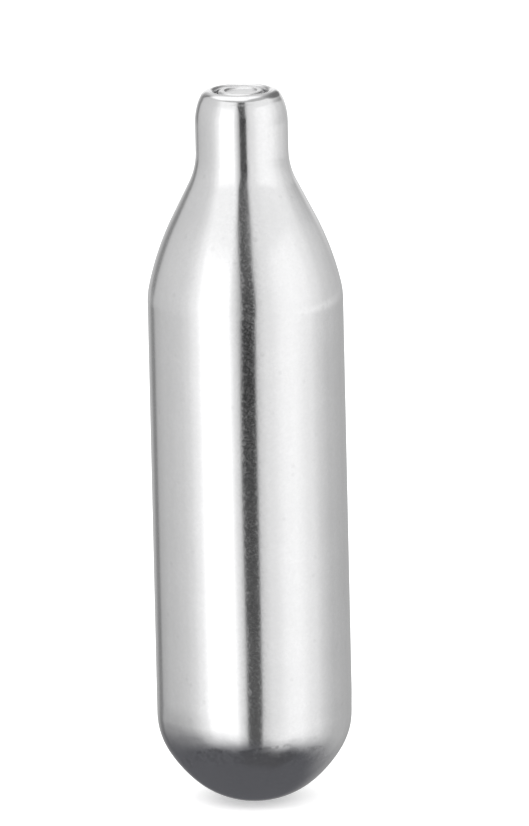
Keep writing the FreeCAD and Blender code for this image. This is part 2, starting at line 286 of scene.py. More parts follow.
def shell_profile():
    """The shell's section, from the outer pole up, over the lip and back down inside."""
    flank, base_height = base_skin(BARREL, NOSE_RADIUS, KNUCKLE_RADIUS)
    cone = shoulder_skin(BARREL, NECK, CORNER_RADIUS, BULGE_RADIUS, THROAT_RADIUS)[0]
    lip_radius = lip_skin()[0]
    walk = Profile(0.0, 0.0)
    walk.arc(NOSE_RADIUS, NOSE_ANGLE, MIDDLE_STEP)
    walk.arc(flank, KNUCKLE_START - NOSE_ANGLE, FINE_STEP)
    walk.arc(KNUCKLE_RADIUS, 90.0 - KNUCKLE_START, FINE_STEP)
    walk.line(shoulder_foot() - base_height, BARREL_STEP)
    walk.arc(CORNER_RADIUS, CORNER_ANGLE, MIDDLE_STEP)
    walk.arc(BULGE_RADIUS, STEEPEST - CORNER_ANGLE, MIDDLE_STEP)
    walk.line(cone, MIDDLE_STEP)
    walk.arc(THROAT_RADIUS, -STEEPEST, MIDDLE_STEP)
    walk.line(NECK_LENGTH, FINE_STEP)
    walk.arc(LIP_FLANK_RADIUS, LIP_FLANK_ANGLE, FINE_STEP)
    walk.arc(lip_radius, 90.0 - LIP_FLANK_ANGLE, LIP_STEP)
    walk.skin = len(walk.rings)
    walk.line(CREST_WIDTH, FINE_STEP)
    walk.arc(LIP_EDGE_RADIUS, 90.0, LIP_EDGE_STEP)
    walk.line(LIP_THICKNESS - LIP_EDGE_RADIUS, MIDDLE_STEP)
    # Under the lip, down the counterbore and over the ledge to the bore.
    walk.line(SEAT - MOUTH, MIDDLE_STEP, corner=90.0)
    walk.line(walk.height - GASKET_FOOT, MIDDLE_STEP, corner=-90.0)
    walk.line(SEAT - BORE, MIDDLE_STEP, corner=-90.0)
    # The inner skin, down to its own pole.
    inner_throat = THROAT_RADIUS + NECK - BORE
    inner_nose = NOSE_RADIUS - INNER_POLE
    cone = shoulder_skin(INNER_BARREL, BORE, CORNER_RADIUS - WALL, BULGE_RADIUS - WALL,
                         inner_throat)[0]
    flank, base_height = base_skin(INNER_BARREL, inner_nose, KNUCKLE_RADIUS - WALL)
    walk.line(walk.height - neck_foot(), INNER_STEP, corner=90.0)
    walk.arc(inner_throat, STEEPEST, INNER_STEP)
    walk.line(cone, INNER_STEP)
    walk.arc(BULGE_RADIUS - WALL, CORNER_ANGLE - STEEPEST, INNER_STEP)
    walk.arc(CORNER_RADIUS - WALL, -CORNER_ANGLE, INNER_STEP)
    walk.line(walk.height - INNER_POLE - base_height, INNER_BARREL_STEP)
    walk.arc(KNUCKLE_RADIUS - WALL, KNUCKLE_START - 90.0, INNER_STEP)
    walk.arc(flank, NOSE_ANGLE - KNUCKLE_START, INNER_STEP)
    walk.arc(inner_nose, -NOSE_ANGLE, INNER_STEP)
    # Rounding leaves the last ring a hair off the axis.
    walk.rings[-1] = (0.0, INNER_POLE, walk.heading)
    return walk


def cap_profile():
    """The cap's section: over the crown, out along the flange and back inside."""
    walk = Profile(0.0, CROWN_TOP - COIN_DEPTH)
    # Walked from the axis outward along the top, so the outside is on the left: the rings
    # are turned round at the end.
    walk.line(COIN - 2 * COIN_DEPTH * sine(COIN_SIDE_TURN), CAP_FLAT_STEP)
    walk.arc(COIN_DEPTH, COIN_SIDE_TURN, CAP_STEP)
    walk.arc(COIN_DEPTH, -COIN_SIDE_TURN, CAP_STEP)
    walk.line(CROWN - CROWN_RIM_RADIUS - COIN, CAP_FLAT_STEP)
    walk.arc(CROWN_RIM_RADIUS, -90.0, CAP_STEP)
    walk.line(walk.height - FLANGE_FOOT - CAP_SHEET - CROWN_FOOT_RADIUS, CAP_FLAT_STEP)
    walk.arc(CROWN_FOOT_RADIUS, 90.0, CAP_STEP)
    walk.line(FLANGE - walk.radius, CAP_FLAT_STEP)
    walk.line(CAP_SHEET, CAP_FLAT_STEP, corner=-90.0)
    walk.line(FLANGE - CROWN + CAP_SHEET, CAP_FLAT_STEP, corner=-90.0)
    walk.line(CROWN_TOP - FLANGE_FOOT - CAP_SHEET, CAP_FLAT_STEP, corner=-90.0)
    walk.line(CROWN - CAP_SHEET, CAP_FLAT_STEP, corner=90.0)
    walk.rings = [(r, z, heading + 180.0) for r, z, heading in reversed(walk.rings)]
    # Rounding leaves what is now the first ring a hair off the axis.
    walk.rings[0] = (0.0, *walk.rings[0][1:])
    return walk


# ---------------------------------------------------------------- relief of the skin

BASE_TOP = base_skin(BARREL, NOSE_RADIUS, KNUCKLE_RADIUS)[1]

# On the right the barrel begins to close a little above the base's own curve. A side is a
# share of the radius, and a depth is in micrometres.
EASE_SIDE = (-0.1, 0.5)
EASE_DEPTH = 36.0
EASE_ABOVE = 1.8 * MM
EASE_BELOW = 2.3 * MM
# On the left of the front the curve is flatter and begins sooner.
FLAT_SIDE = (0.12, 0.88)
FLAT_END = (0.86, 0.99)
FLAT_DEPTH = 150.0
FLAT_REACH = 1.7 * MM
FLAT_FALL = 4.0 * MM

# The band of the base that deep drawing leaves puckered, by height.
PUCKER_RISE = (4.6 * MM, 5.6 * MM)
PUCKER_FALL = (7.0 * MM, 7.8 * MM)
# Ripples, each a wavelength in millimetres and a depth in micrometres.
PUCKERS = ((3.6, 9.0), (1.5, 10.0), (0.75, 4.0))
PEEL = ((2.2, 1.6), (0.6, 0.9))
# Each ripple reads the noise somewhere else: this far on, in wavelengths, times its number.
FIRST_RIPPLE = 3
RIPPLE_SHIFT = (1.0, 0.37, -0.61)
# Soft dents in the band: angle from the front in degrees, height and reach in
# millimetres, and depth in micrometres, below 0 for a bump.
DENTS = (
    (-28.0, 6.2, 1.2, -14.0),
    (16.0, 6.0, 1.2, 18.0),
    (31.0, 6.4, 1.0, -12.0),
)
# The crimping tool leaves a faint step, in micrometres, where the lip begins to round over.
STEP_DEPTH = 28.0
STEP = (LENGTH - 0.95 * MM, LENGTH - 0.55 * MM)
# The lip's own top stays smooth.
LIP_FADE = (LENGTH - 0.6 * MM, LENGTH - 0.3 * MM)
# The barrel's rings are sunk by this many micrometres, so that no ripple widens the part. A
# ring this near to the barrel's radius is one of them.
BARREL_SINK = 1.6
BARREL_REACH = 0.05 * MM


def ripples(place, waves):
    """Smooth noise in micrometres, summed over wavelengths and depths."""
    total = 0.0
    for number, (wavelength, depth) in enumerate(waves, FIRST_RIPPLE):
        shift = Vector([part * number for part in RIPPLE_SHIFT])
        total += depth * noise.noise(place / (wavelength * MM) + shift)
    return total


def drawn_relief(place, radius):
    """How far the outside stands proud of its true shape at a place."""
    height = place.z
    pucker = smooth(*PUCKER_RISE, height) * (1 - smooth(*PUCKER_FALL, height))
    peel = 1 - smooth(*LIP_FADE, height)
    push = pucker * ripples(place, PUCKERS) + peel * ripples(place, PEEL)
    for angle, level, reach, depth in DENTS:
        spot = Vector((BARREL * sine(angle), -BARREL * cosine(angle), level * MM))
        far = (place - spot).length / (reach * MM)
        push -= pucker * depth * math.exp(-far * far)
    push -= EASE_DEPTH * (smooth(*EASE_SIDE, place.x / radius)
                          * smooth(BASE_TOP - EASE_BELOW, BASE_TOP, height)
                          * (1 - smooth(BASE_TOP, BASE_TOP + EASE_ABOVE, height)))
    flat = smooth(*FLAT_SIDE, -place.x / radius) * (1 - smooth(*FLAT_END, -place.x / radius))
    foot = BASE_TOP - FLAT_REACH
    push -= FLAT_DEPTH * (flat * (1 - smooth(foot, BASE_TOP + FLAT_REACH, height))
                          * smooth(foot - FLAT_FALL, foot, height))
    push -= STEP_DEPTH * smooth(*STEP, height)
    if radius > BARREL - BARREL_REACH:
        push -= BARREL_SINK
    return push * MICRON


# ---------------------------------------------------------------- node helpers

# Where a colour mix has its two colours, and its result.
MIX_COLORS = (6, 7)
MIX_RESULT = 2


class Graph:
    """Adds nodes to a tree, each with its inputs given as numbers or as other sockets."""

    def __init__(self, tree):
        self.tree = tree
        tree.nodes.clear()

    def add(self, kind, inputs=None, **settings):
        node = self.tree.nodes.new(kind)
        for key, value in settings.items():
            setattr(node, key, value)
        for key, value in (inputs or {}).items():
            if isinstance(value, bpy.types.NodeSocket):
                self.tree.links.new(value, node.inputs[key])
            else:
                node.inputs[key].default_value = value
        return node

    def math(self, operation, first, second=0.0):
        node = self.add("ShaderNodeMath", {0: first, 1: second}, operation=operation)
        return node.outputs[0]

    def times(self, first, second):
        return self.math("MULTIPLY", first, second)

    def ease(self, value, low, high, start=0.0, end=1.0):
        """start below low, end above high, and an easy curve between."""
        node = self.add("ShaderNodeMapRange", interpolation_type="SMOOTHSTEP",
                        inputs={"Value": value, "From Min": low, "From Max": high,
                                "To Min": start, "To Max": end})
        return node.outputs["Result"]

    def spread(self, value, low, high, start=0.0, end=1.0):
        """start below low, end above high, and a straight line between."""
        node = self.add("ShaderNodeMapRange",
                        inputs={"Value": value, "From Min": low, "From Max": high,
                                "To Min": start, "To Max": end})
        return node.outputs["Result"]

    def ramp(self, value, stops, interpolation="EASE"):
        """A grey ramp through the stops, each a place from 0 to 1 and a level."""
        node = self.add("ShaderNodeValToRGB", {"Fac": value})
        node.color_ramp.interpolation = interpolation
        elements = node.color_ramp.elements
        while len(elements) < len(stops):
            elements.new(0.5)
        for element, (place, level) in zip(elements, sorted(stops)):
            element.position = place
            element.color = (level, level, level, 1.0)
        return node.outputs["Color"]

    def noise(self, vector, scale, detail, roughness):
        """Soft noise about a half. The scale is in periods to the metre."""
        node = self.add("ShaderNodeTexNoise", {"Vector": vector, "Scale": scale,
                                               "Detail": detail, "Roughness": roughness})
        return node.outputs["Fac"]

    def blend(self, share, first, second):
        """The first colour where the share is 0, and the second where it is 1."""
        node = self.add("ShaderNodeMix", {"Factor": share}, data_type="RGBA")
        for socket, value in zip(MIX_COLORS, (first, second)):
            if isinstance(value, bpy.types.NodeSocket):
                self.tree.links.new(value, node.inputs[socket])
            else:
                node.inputs[socket].default_value = value
        return node.outputs[MIX_RESULT]

    def either(self, share, first, second):
        """The first shader where the share is 0, and the second where it is 1."""
        node = self.add("ShaderNodeMixShader", {0: share, 1: first, 2: second})
        return node.outputs[0]


def material(name):
    made = bpy.data.materials.new(name)
    made.use_nodes = True
    return made, Graph(made.node_tree)


def grey(level):
    return level, level, level, 1.0


# ---------------------------------------------------------------- materials

# A noise is a scale in periods to the metre, a detail and a roughness. An edge is the two
# values between which something begins or ends, with the shares there where four are given.

# The painted reflection of the ground's edge: a dark line painted round the base. Its height in
# front, how it drops towards the back, how far it wanders, and its half width.
REFLECTED_EDGE_LEVEL = 6.85 * MM
REFLECTED_EDGE_SLOPE = 0.4
REFLECTED_EDGE_WANDER = 1.8 * MM
REFLECTED_EDGE_WIDTH = (0.04 * MM, 0.3 * MM)
WANDER_NOISE = (300.0, 1.0, 0.5)
RAGGED_NOISE = (1800.0, 3.0, 0.6)
RAGGED_EDGE = (0.38, 0.58)
# It is broken here and there, and ends on the flanks, by depth from the axis.
BREAK_NOISE = (210.0, 1.0, 0.5)
BREAK_EDGE = (0.42, 0.55, 0.15, 1.0)
REFLECTED_EDGE_END = (-6.3 * MM, -5.0 * MM, 1.0, 0.0)
# The painted mottled shade just under it, by height from the line.
MOTTLED_FOOT = (-1.6 * MM, -0.6 * MM)
MOTTLED_TOP = (-0.2 * MM, 0.0, 1.0, 0.0)
MOTTLED_EDGE = (0.42, 0.6, 0.0, 0.4)

# The plating: cloudy patches a few millimetres across, finer mottling and grain.
STEEL = (0.78, 0.78, 0.785)
CLOUD_NOISE = (260.0, 3.0, 0.55)
MOTTLE_NOISE = (1700.0, 2.0, 0.6)
GRAIN_NOISE = (3000.0, 2.0, 0.6)
GRAIN_EDGE = (0.35, 0.65)
# Hairlines along the axis, from the drawing die: a noise squeezed by a share.
HAIR_NOISE = (5200.0, 2.0, 0.6)
HAIR_SQUEEZE = 0.035
# Stains: a few small dull spots, each the middle of a cell.
STAIN_SCALE = 520.0
STAIN_EDGE = (0.05, 0.16, 0.35, 0.0)
# Pits a fifth of a millimetre across. Places are heights above the barrel's end.
PIT_NOISE = (4200.0, 1.5, 0.6)
PIT_EDGE = (0.4, 0.7)
PIT_RISE = (-3 * MM, 2 * MM)
PIT_ON_BARREL = 0.72
PIT_FALL = (4 * MM, 10 * MM)
PIT_ON_NECK = 0.65
# The rolled edge round the mouth: its width, and where it begins under the top.
ROLLED_WIDTH = 0.45 * MM
ROLLED_FOOT = (-1.6 * MM, -1.2 * MM)
# Roughness: of the clouds' dark and pale parts, and what each mark adds.
CLOUD_EDGE = (0.3, 0.7)
SATIN = (0.105, 0.135)
PIT_ROUGH = 0.09
STAIN_ROUGH = 0.15
ROLLED_ROUGH = 0.16
# Colour: how clouds and mottling make up wear, how much the grain counts, and the share of the
# colour that each mark leaves. The last is the painted reflection of the ground's edge.
CLOUD_WEAR = 0.6
MOTTLE_WEAR = 0.4
WEAR_EDGE = (0.34, 0.62)
WORN_SHADE = 0.95
GRAIN_SHARE = 0.5
GRAIN_SHADE = 0.93
STAIN_SHADE = 0.84
PAINTED_REFLECTION_SHADE = 0.7
# Fine relief, in micrometres.
MOTTLE_RELIEF = 1.1
HAIR_RELIEF = 0.15
PIT_RELIEF = 0.3
# The cap is a little duller and less pitted.
CAP_DULL = 0.04
CAP_PITTING = 0.4

# The gasket: its grain, its two shades, its roughness across the grain and its fine relief.
RUBBER_NOISE = (6000.0, 3.0, 0.6)
RUBBER_SHADES = ((0.012, 0.012, 0.013, 1.0), (0.03, 0.03, 0.031, 1.0))
RUBBER_ROUGH = (0.3, 0.7, 0.55, 0.75)
RUBBER_RELIEF = 4 * MICRON
RUBBER_BUMP = 0.6

# The liquefied gas: a faint swirl between two tints.
LIQUID_NOISE = (180.0, 2.0, 0.5)
LIQUID_SHADES = ((0.86, 0.94, 0.98, 1.0), (0.93, 0.97, 1.0, 1.0))
LIQUID_ROUGH = 0.02
LIQUID_IOR = 1.2


def painted_ground_reflection(graph, place, height, depth):
    """A painted reflection of the ground's edge: a ragged, broken, darker line painted round the
    base, and faint painted mottling just under it.
    """
    drop = graph.times(depth, -REFLECTED_EDGE_SLOPE)
    level = graph.math("ADD", REFLECTED_EDGE_LEVEL - REFLECTED_EDGE_SLOPE * BARREL, drop)
    wander = graph.math("SUBTRACT", graph.noise(place, *WANDER_NOISE), 0.5)
    level = graph.math("ADD", level, graph.times(wander, REFLECTED_EDGE_WANDER))
    over = graph.math("SUBTRACT", height, level)
    ragged = graph.noise(place, *RAGGED_NOISE)
    line = graph.ease(graph.math("ABSOLUTE", over), *REFLECTED_EDGE_WIDTH, 1.0, 0.0)
    line = graph.times(line, graph.ease(ragged, *RAGGED_EDGE))
    broken = graph.ease(graph.noise(place, *BREAK_NOISE), *BREAK_EDGE)
    broken = graph.times(broken, graph.ease(depth, *REFLECTED_EDGE_END))
    line = graph.times(line, broken)
    under = graph.times(graph.ease(over, *MOTTLED_FOOT), graph.ease(over, *MOTTLED_TOP))
    mottled = graph.times(under, graph.ease(ragged, *MOTTLED_EDGE))
    return graph.math("MAXIMUM", line, mottled)


def pits_of(graph, place, height, strength):
    """Pits, deepest low on the shoulder."""
    foot = shoulder_foot()
    low, high = (foot + rise for rise in PIT_RISE)
    crowd = graph.ease(height, low, high, PIT_ON_BARREL * strength, strength)
    low, high = (foot + fall for fall in PIT_FALL)
    crowd = graph.times(crowd, graph.ease(height, low, high, 1.0, PIT_ON_NECK))
    pits = graph.ease(graph.noise(place, *PIT_NOISE), *PIT_EDGE)
    return graph.times(pits, crowd)


def rolled_edge(graph, split):
    """1 on the rolled edge round the mouth."""
    flat = graph.add("ShaderNodeCombineXYZ", {"X": split.outputs["X"], "Y": split.outputs["Y"]})
    radius = graph.add("ShaderNodeVectorMath", {0: flat.outputs["Vector"]}, operation="LENGTH")
    edge = graph.ease(radius.outputs["Value"], MOUTH, MOUTH + ROLLED_WIDTH, 1.0, 0.0)
    low, high = (LENGTH + foot for foot in ROLLED_FOOT)
    return graph.times(edge, graph.ease(split.outputs["Z"], low, high))


def plated_steel(name, color, dull, pitting):
    """Bright zinc plating over drawn steel: satin, finely pitted, with a cloudy sheen.

    dull is added to the roughness, and pitting is the strength of the pits.
    """
    made, graph = material(name)
    place = graph.add("ShaderNodeTexCoord").outputs["Object"]
    split = graph.add("ShaderNodeSeparateXYZ", {"Vector": place})
    height = split.outputs["Z"]

    def tone(share):
        """A share of the colour."""
        return (*(share * part for part in color), 1.0)

    clouds = graph.noise(place, *CLOUD_NOISE)
    mottle = graph.noise(place, *MOTTLE_NOISE)
    grain = graph.spread(graph.noise(place, *GRAIN_NOISE), *GRAIN_EDGE)
    pits = pits_of(graph, place, height, pitting)
    squeeze = graph.add("ShaderNodeMapping", {"Vector": place, "Scale": (1.0, 1.0, HAIR_SQUEEZE)})
    hair = graph.noise(squeeze.outputs["Vector"], *HAIR_NOISE)
    cells = graph.add("ShaderNodeTexVoronoi", {"Vector": place, "Scale": STAIN_SCALE})
    stain = graph.ease(cells.outputs["Distance"], *STAIN_EDGE)
    # A dark line painted where the ground's edge is mirrored in the base, with painted mottling
    # under it.
    ground_reflection_mask = painted_ground_reflection(graph, place, height, split.outputs["Y"])
    edge = rolled_edge(graph, split)

    rough = graph.spread(clouds, *CLOUD_EDGE, *(level + dull for level in SATIN))
    for mark, more in ((pits, PIT_ROUGH), (stain, STAIN_ROUGH), (edge, ROLLED_ROUGH)):
        rough = graph.math("ADD", rough, graph.times(mark, more))
    worn = graph.math("ADD", graph.times(clouds, CLOUD_WEAR), graph.times(mottle, MOTTLE_WEAR))
    shade = graph.blend(graph.spread(worn, *WEAR_EDGE), tone(WORN_SHADE), tone(1.0))
    shade = graph.blend(graph.times(grain, GRAIN_SHARE), shade, tone(GRAIN_SHADE))
    shade = graph.blend(stain, shade, tone(STAIN_SHADE))
    # The painted reflection of the ground's edge darkens the colour here.
    shade = graph.blend(ground_reflection_mask, shade, tone(PAINTED_REFLECTION_SHADE))

    relief = graph.math("ADD", graph.times(mottle, MOTTLE_RELIEF), graph.times(hair, HAIR_RELIEF))
    relief = graph.math("SUBTRACT", relief, graph.times(pits, PIT_RELIEF))
    bump = graph.add("ShaderNodeBump", {"Strength": 1.0, "Distance": MICRON, "Height": relief})
    shader = graph.add("ShaderNodeBsdfPrincipled",
                       {"Base Color": shade, "Metallic": 1.0, "Roughness": rough,
                        "Normal": bump.outputs["Normal"]})
    graph.add("ShaderNodeOutputMaterial", {"Surface": shader.outputs["BSDF"]})
    return made


def black_rubber(name):
    made, graph = material(name)
    place = graph.add("ShaderNodeTexCoord").outputs["Object"]
    grain = graph.noise(place, *RUBBER_NOISE)
    bump = graph.add("ShaderNodeBump", {"Strength": RUBBER_BUMP, "Distance": RUBBER_RELIEF,
                                        "Height": grain})
    shader = graph.add("ShaderNodeBsdfPrincipled",
                       {"Base Color": graph.blend(grain, *RUBBER_SHADES),
                        "Roughness": graph.spread(grain, *RUBBER_ROUGH),
                        "Normal": bump.outputs["Normal"]})
    graph.add("ShaderNodeOutputMaterial", {"Surface": shader.outputs["BSDF"]})
    return made


def clear_liquid(name):
    made, graph = material(name)
    place = graph.add("ShaderNodeTexCoord").outputs["Object"]
    swirl = graph.noise(place, *LIQUID_NOISE)
    shader = graph.add("ShaderNodeBsdfPrincipled",
                       {"Base Color": graph.blend(swirl, *LIQUID_SHADES),
                        "Roughness": LIQUID_ROUGH, "IOR": LIQUID_IOR,
                        "Transmission Weight": 1.0})
    graph.add("ShaderNodeOutputMaterial", {"Surface": shader.outputs["BSDF"]})
    return made


# ---------------------------------------------------------------- studio

# What the metal sees is a tent round the part. A direction is an azimuth, 0 towards the
# camera and above 0 to its right, and an elevation, both in degrees from the tent's middle.
# Each table gives a value at some azimuths or elevations, with an easy curve between. The
# values of some are divided by WALL_PEAK, GAP_MOST or SOFTEST for the ramp that holds them.
TENT_RADIUS = 0.2
TENT_SEGMENTS = (96, 48)
# The wall's level all round: a bright sheet on the left, a paler one on the right.
WALLS = (
    (-180.0, 0.64), (-166.0, 0.66), (-157.0, 0.57), (-151.0, 0.46), (-146.0, 0.31),
    (-138.0, 0.31), (-133.5, 0.62), (-130.0, 0.71), (-112.0, 0.75), (-84.0, 0.81),
    (-74.0, 0.91), (-62.0, 1.13), (-48.0, 1.6), (-24.0, 1.6), (-13.0, 0.95), (-7.0, 0.60),
    (8.0, 0.72), (12.0, 0.81), (24.0, 0.98), (45.0, 1.20), (58.0, 1.25), (75.0, 1.21),
    (92.0, 1.05), (112.0, 0.83), (130.0, 0.73), (145.0, 0.64), (160.0, 0.6), (180.0, 0.64),
)
WALL_PEAK = 1.6
# The share of that level that the wall loses low down, all round and by elevation.
LOSS_ROUND = (
    (-180.0, 0.2), (-166.0, 0.1), (-150.0, 0.05), (-140.0, 0.14), (-130.0, 0.24), (-110.0, 0.14),
    (-75.0, 0.06), (-45.0, 0.0), (50.0, 0.0), (78.0, 0.17), (98.0, 0.30), (130.0, 0.26),
    (150.0, 0.2), (180.0, 0.2),
)
LOSS_DOWN = ((-18.0, 1.0), (-8.0, 0.84), (-3.5, 0.52), (5.0, 0.38), (14.0, 0.12), (24.0, 0.0))
# It loses more just above the ground, mostly on the left.
DUSK_ROUND = (
    (-180.0, 0.2), (-160.0, 0.2), (-130.0, 0.14), (-108.0, 0.25), (-85.0, 0.23), (-68.0, 0.11),
    (-45.0, 0.21), (-25.0, 0.16), (-14.0, 0.0), (40.0, 0.0), (75.0, 0.07), (110.0, 0.06),
    (135.0, 0.0), (150.0, 0.06), (165.0, 0.2), (180.0, 0.2),
)
DUSK = (-26.5, -17.5)
# Higher up it is never brighter than the second of these levels.
LIMIT_RISE = (18.0, 40.0)
LIMITS = (1.6, 1.2)
# There it is dimmer on the right, by these shares, where the shoulder mirrors it.
BROW_ROUND = ((22.0, 0.0), (42.0, 0.13), (80.0, 0.13), (98.0, 0.0))
BROW_RISE = ((30.0, 0.0), (38.0, 1.0))
# On the right and in the dark seam behind on the left it is brighter, by these shares, at the
# height that the neck mirrors.
NECK_ROUND = (
    (-160.0, 0.0), (-150.0, 0.35), (-138.0, 0.35), (-130.0, 0.0), (55.0, 0.0), (75.0, 0.1),
    (92.0, 0.18), (112.0, 0.22), (138.0, 0.1), (160.0, 0.0),
)
NECK_RISE = ((-8.5, 0.0), (-5.5, 1.0), (-3.0, 1.0), (1.0, 0.0))
# Straight behind, higher up, it is brighter.
BACK_ROUND = (
    (-180.0, 1.0), (-172.0, 1.0), (-154.0, 0.0), (142.0, 0.0), (164.0, 1.0), (180.0, 1.0),
)
BACK_RISE = ((-4.0, 0.0), (14.0, 1.0))
BACK_LEVEL = 1.15
# The dark gap that the camera looks through: by elevation, its middle, its half width, the
# softness of its edges and its level.
GAP_MIDDLE = (
    (-17.0, 0.8), (-12.5, 0.4), (-9.5, 1.2), (-8.0, 2.6), (-3.0, 3.4), (17.0, 3.4), (24.0, 2.9),
    (31.0, 1.9), (40.0, 0.7), (50.0, 0.8),
)
GAP_HALF = ((-17.0, 8.6), (-12.5, 9.4), (-8.0, 8.5), (28.0, 8.6), (38.0, 10.0), (46.0, 12.0))
GAP_SOFT = ((28.0, 1.0), (38.0, 3.0), (46.0, 3.4))
GAP_MOST = 20.0
GAP_DARK = (
    (-18.5, 0.107), (-16.0, 0.095), (-13.0, 0.079), (-11.0, 0.05), (-9.0, 0.034), (-7.0, 0.036),
    (-5.0, 0.09), (-3.0, 0.095), (4.0, 0.065), (14.0, 0.065), (26.0, 0.1), (36.0, 0.105),
)
# Its right half is paler high up.
GAP_PALE = 0.06
GAP_PALE_SIDE = (0.0, 4.0)
GAP_PALE_RISE = (24.0, 34.0)
# Below this elevation the ground is dark, with a soft edge that falls away to the right.
GROUND_EDGE = (
    (-180.0, -34.5), (-164.0, -27.5), (-150.0, -27.5), (-130.0, -28.5), (-110.0, -31.9),
    (-85.0, -34.2), (-50.0, -36.6), (-30.0, -38.2), (-14.0, -36.6), (14.0, -40.6), (32.0, -45.1),
    (50.0, -39.1), (70.0, -40.6), (110.0, -44.6), (130.0, -45.6), (150.0, -41.5), (180.0, -34.5),
)
GROUND_SOFT = (
    (-180.0, 10.0), (-150.0, 14.0), (-130.0, 12.0), (-70.0, 12.0), (-40.0, 14.0), (20.0, 15.0),
    (70.0, 15.0), (110.0, 17.0), (150.0, 14.0), (180.0, 10.0),
)
SOFTEST = 18.0
GROUND = (0.125, 0.126, 0.137, 1.0)
# The ground is darker still in front, a little to the right.
SHADE = (0.096, 0.096, 0.102, 1.0)
SHADE_ROUND = ((-50.0, 0.0), (-10.0, 0.8), (45.0, 1.0), (80.0, 0.0))
SHADE_RISE = ((-82.0, 0.0), (-70.0, 1.0), (-56.0, 1.0), (-46.0, 0.0))
# Above the walls is a dimmer band, absent at the back, and then the ceiling.
BAND_ROUND = ((-120.0, 0.0), (-72.0, 0.7), (-45.0, 1.0), (100.0, 1.0), (135.0, 0.0))
BAND_RISE = ((47.0, 0.0), (52.0, 1.0), (90.0, 1.0))
BAND_LEVEL = 0.56
CEILING_EDGE = (
    (-180.0, 50.0), (-140.0, 47.0), (-100.0, 54.0), (-45.0, 66.0), (20.0, 68.0), (65.0, 76.0),
    (100.0, 74.0), (135.0, 64.0), (160.0, 54.0), (180.0, 50.0),
)
CEILING_SOFT = 6.0
CEILING_LEVEL = 1.35
# Behind, over the wall, is the dark of the room: how much of it there is, and its lower and
# upper edges.
ROOM_ROUND = (
    (-180.0, 0.6), (-166.0, 0.6), (-156.0, 0.35), (-138.0, 0.35), (-127.0, 0.0), (94.0, 0.0),
    (110.0, 0.75), (126.0, 1.0), (158.0, 1.0), (180.0, 0.6),
)
ROOM_FOOT = (
    (-180.0, 26.0), (-160.0, 22.0), (-135.0, 21.0), (-126.0, 25.0), (100.0, 36.0), (113.0, 29.0),
    (122.0, 25.0), (132.0, 20.0), (142.0, 15.5), (150.0, 13.5), (160.0, 16.0), (180.0, 26.0),
)
ROOM_FOOT_SOFT = 5.5
ROOM_HEAD = (
    (-180.0, 38.0), (-126.0, 38.0), (100.0, 58.0), (130.0, 58.0), (150.0, 55.0), (165.0, 48.0),
    (180.0, 38.0),
)
ROOM_HEAD_SOFT = 15.0
ROOM_LEVEL = 0.2


def degrees_of(graph, function, first, second=0.0):
    """The angle that an inverse function gives, in degrees."""
    return graph.times(graph.math(function, first, second), 180.0 / math.pi)


class Directions:
    """Where a point of the tent lies from its middle, and the tables read by that."""

    def __init__(self, graph):
        self.graph = graph
        place = graph.add("ShaderNodeTexCoord").outputs["Object"]
        toward = graph.add("ShaderNodeVectorMath", {0: place}, operation="NORMALIZE")
        split = graph.add("ShaderNodeSeparateXYZ", {"Vector": toward.outputs["Vector"]})
        x, y, z = (split.outputs[axis] for axis in "XYZ")
        self.azimuth = degrees_of(graph, "ARCTAN2", x, graph.times(y, -1.0))
        self.elevation = degrees_of(graph, "ARCSINE", z)
        self.turn = graph.spread(self.azimuth, -180.0, 180.0)
        self.rise = graph.spread(self.elevation, -90.0, 90.0)

    def by_azimuth(self, table, scale=1.0):
        """A table's value here. The scale brings its values between 0 and 1 for the ramp."""
        stops = [(angle / 360.0 + 0.5, value / scale) for angle, value in table]
        return self.graph.times(self.graph.ramp(self.turn, stops), scale)

    def by_elevation(self, table, scale=1.0):
        """A table's value here. The scale brings its values between 0 and 1 for the ramp."""
        stops = [(angle / 180.0 + 0.5, value / scale) for angle, value in table]
        return self.graph.times(self.graph.ramp(self.rise, stops), scale)

    def patch(self, round_table, rise_table):
        """The share of a patch that is bounded by azimuth and by elevation."""
        return self.graph.times(self.by_azimuth(round_table), self.by_elevation(rise_table))

    def above(self, edge, scale=90.0):
        """How far it is above an edge whose elevation a table gives by azimuth."""
        return self.graph.math("SUBTRACT", self.elevation, self.by_azimuth(edge, scale))


def wall_light(view):
    """The light of the walls, with the brighter stretch straight behind."""
    graph = view.graph
    loss = view.patch(LOSS_ROUND, LOSS_DOWN)
    dusk = graph.times(view.by_azimuth(DUSK_ROUND), graph.ease(view.elevation, *DUSK, 1.0, 0.0))
    lift = view.patch(NECK_ROUND, NECK_RISE)
    limit = graph.ease(view.elevation, *LIMIT_RISE, *LIMITS)
    brow = view.patch(BROW_ROUND, BROW_RISE)
    walls = view.by_azimuth(WALLS, WALL_PEAK)
    walls = graph.times(walls, graph.math("SUBTRACT", 1.0, loss))
    walls = graph.times(walls, graph.math("SUBTRACT", 1.0, dusk))
    walls = graph.times(walls, graph.math("ADD", 1.0, lift))
    walls = graph.math("MINIMUM", walls, limit)
    walls = graph.times(walls, graph.math("SUBTRACT", 1.0, brow))
    return graph.blend(view.patch(BACK_ROUND, BACK_RISE), walls, grey(BACK_LEVEL))


def with_gap(view, seen):
    """What is seen, with the dark gap that the camera looks through."""
    graph = view.graph
    off = graph.math("SUBTRACT", view.azimuth, view.by_elevation(GAP_MIDDLE, GAP_MOST))
    half = view.by_elevation(GAP_HALF, GAP_MOST)
    soft = view.by_elevation(GAP_SOFT, GAP_MOST)
    gap = graph.ease(graph.math("ABSOLUTE", off), graph.math("SUBTRACT", half, soft),
                     graph.math("ADD", half, soft), 1.0, 0.0)
    pale = graph.times(graph.ease(off, *GAP_PALE_SIDE),
                       graph.ease(view.elevation, *GAP_PALE_RISE))
    dark = graph.math("ADD", graph.times(pale, GAP_PALE), view.by_elevation(GAP_DARK))
    return graph.blend(gap, seen, dark)


